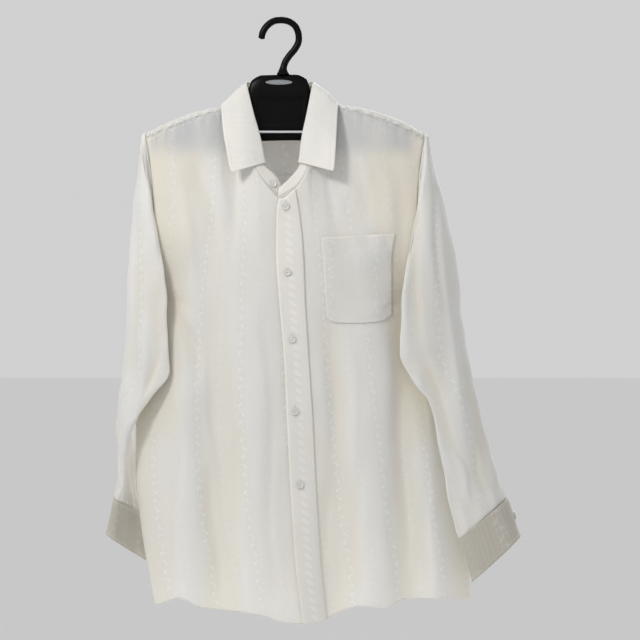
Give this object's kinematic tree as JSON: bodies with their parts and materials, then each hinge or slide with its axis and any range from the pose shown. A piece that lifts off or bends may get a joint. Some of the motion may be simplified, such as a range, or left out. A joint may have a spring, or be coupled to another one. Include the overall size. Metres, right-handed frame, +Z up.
{
  "type": "dress shirt on a hanger",
  "caption": "Long-sleeved buttoned dress shirt with a turned-down collar and chest pocket, hanging open at neck, hem and cuffs from a wide moulded hanger.",
  "frame": {"origin": "inner top of the hook, where a rail or nail carries the hanger", "axes": "+Z up, +X towards the wearer's left, the shirt's front faces -Y"},
  "size_m": [0.606, 0.1473, 0.8828],
  "materials": {
    "shirt_cloth": "ivory satin jacquard, self coloured",
    "cuff_cloth": "the same cloth in two layers, in shade",
    "pearl_button": "pearl, four holes",
    "black_plastic": "moulded, semi-gloss",
    "bright_steel": "polished",
    "label_plate": "bare grey oval"
  },
  "bodies": {
    "root": {"front_right": "shirt_cloth", "front_left": "shirt_cloth", "back": "shirt_cloth", "yoke": "shirt_cloth", "placket": "shirt_cloth", "pocket": "shirt_cloth", "collar_stand": "shirt_cloth", "collar_leaf": "shirt_cloth", "sleeve_right": "shirt_cloth", "cuff_right": "cuff_cloth", "sleeve_left": "shirt_cloth", "cuff_left": "cuff_cloth", "button_front_1": "pearl_button", "button_front_2": "pearl_button", "button_front_3": "pearl_button", "button_front_4": "pearl_button", "button_front_5": "pearl_button", "button_stand": "pearl_button", "button_cuff_right": "pearl_button", "button_cuff_left": "pearl_button", "hanger_body": "black_plastic", "hanger_hook": "black_plastic", "hanger_bar": "bright_steel", "hanger_label": "label_plate"}
  },
  "joints": []
}
